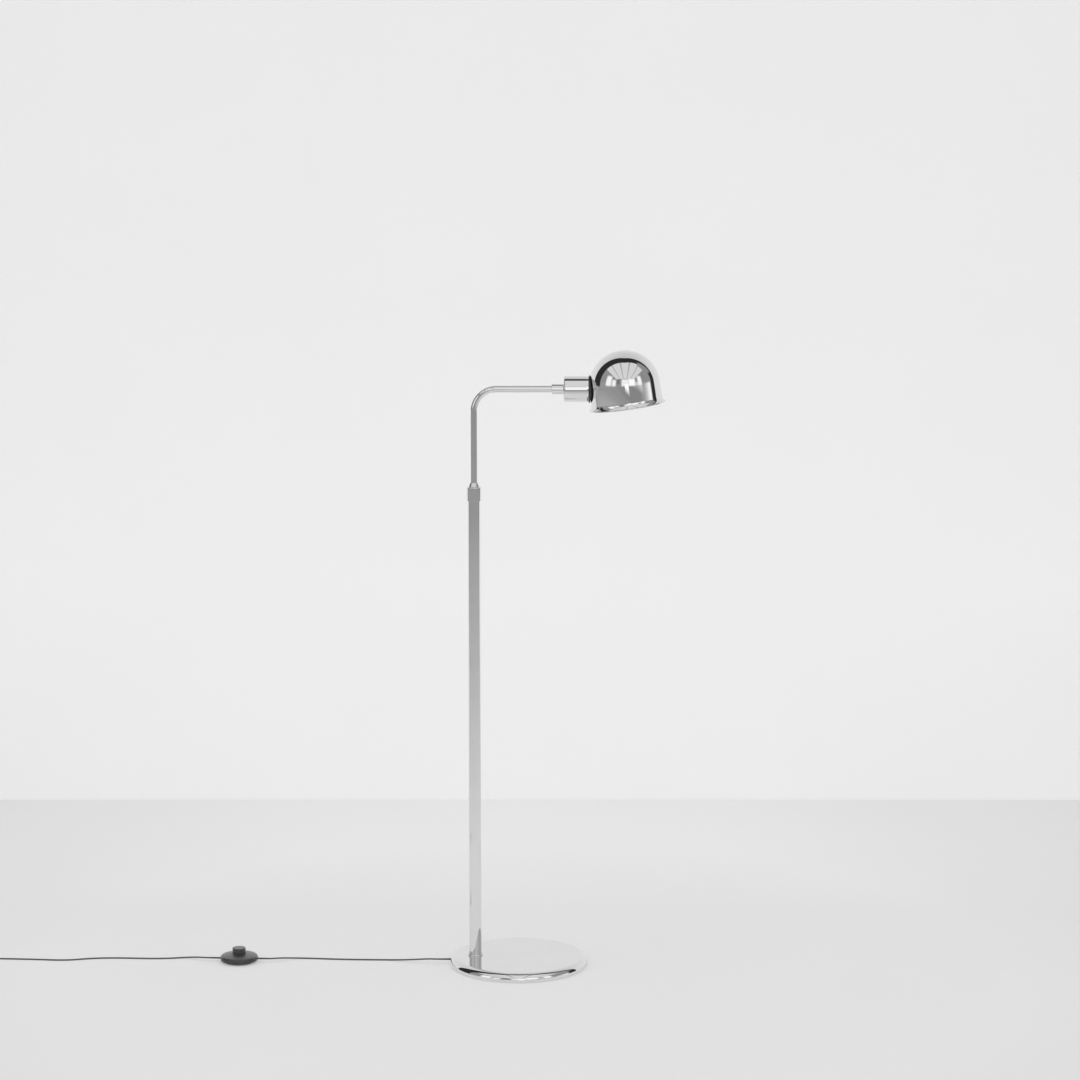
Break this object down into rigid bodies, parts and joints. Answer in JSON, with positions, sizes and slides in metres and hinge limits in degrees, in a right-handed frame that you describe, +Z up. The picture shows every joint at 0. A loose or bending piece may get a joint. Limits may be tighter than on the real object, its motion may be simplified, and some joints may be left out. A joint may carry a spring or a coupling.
{
  "type": "telescopic floor lamp",
  "caption": "Chrome floor lamp with a weighted round base, telescopic bent arm, swivelling dome shade and a cord with a foot switch.",
  "frame": {"origin": "centre of the underside of the round base, on the floor", "axes": "+Z up along the mast, +X from the mast towards the shade, +Y away from the picture's viewer"},
  "size_m": [1.2991, 0.25, 1.118],
  "materials": {
    "chrome": "polished",
    "iron": "rough cast",
    "steel": "zinc plated",
    "felt": "felt",
    "rubber": "satin",
    "cord": "satin",
    "brass": "plain",
    "nylon": "moulded",
    "bakelite": "moulded",
    "switch": "moulded, satin",
    "shade": "polished outside, white inside",
    "opal": "opal",
    "cap": "drawn"
  },
  "bodies": {
    "stand": {"base_cover": "chrome", "base_weight": "iron", "base_plate": "steel", "base_felt": "felt", "base_screws": "steel", "base_relief": "rubber", "base_lead": "cord", "foot_ring": "chrome", "mast_nipple": "brass", "mast_washer": "steel", "mast_nut": "steel", "mast_plug": "steel", "outer_tube": "chrome", "collar": "chrome", "collar_nose": "chrome", "collar_bush": "nylon", "mast_lead": "cord", "switch_pad": "rubber", "switch_base": "switch", "switch_top": "switch", "switch_core": "bakelite", "switch_contacts": "brass", "switch_screws": "steel", "switch_reliefs": "rubber", "button_spring": "steel", "cord_to_switch": "cord", "cord_to_plug": "cord", "cord_coil": "cord", "cord_tie": "rubber", "plug_cord": "cord", "plug_body": "rubber", "plug_pins": "brass"},
    "slider": {"slide_guide": "nylon", "guide_spring": "brass"},
    "arm": {"arm_tube": "chrome", "arm_clips": "steel", "arm_stop_pin": "steel", "arm_grommet": "rubber", "arm_lead": "cord", "swivel_sleeve": "chrome", "head_stop_pin": "steel"},
    "head": {"swivel_stud": "brass", "stop_washer": "steel", "friction_bush": "nylon", "swivel_nut": "steel", "socket_cup": "chrome", "cup_nut": "steel", "lampholder": "bakelite", "terminal_screws": "brass", "screw_shell": "brass", "centre_contact": "brass", "seat_ring": "bakelite", "shade": "shade", "inner_saddle": "bakelite", "shade_nut": "bakelite", "bulb_cap": "cap", "bulb_glass": "opal", "head_lead": "cord"},
    "button": {"switch_button": "switch"}
  },
  "joints": [
    {"name": "arm_slide", "type": "slide", "parent": "stand", "child": "slider", "axis": [0, 0, 1], "range_m": [-0.125, 0.28], "deforming": ["mast_lead"]},
    {"name": "arm_swivel", "type": "hinge", "parent": "slider", "child": "arm", "pos_m": [-0.079, 0, 0.5], "axis": [0, 0, 1], "range_deg": [-160, 160]},
    {"name": "head_turn", "type": "hinge", "parent": "arm", "child": "head", "pos_m": [0.06, 0, 1.049], "axis": [1, 0, 0], "range_deg": [-160, 160]},
    {"name": "button_press", "type": "slide", "parent": "stand", "child": "button", "axis": [0, 0, -1], "range_m": [0, 0.003], "stiffness_N_per_m": 1200, "springref_m": -0.002, "deforming": ["button_spring"]}
  ]
}
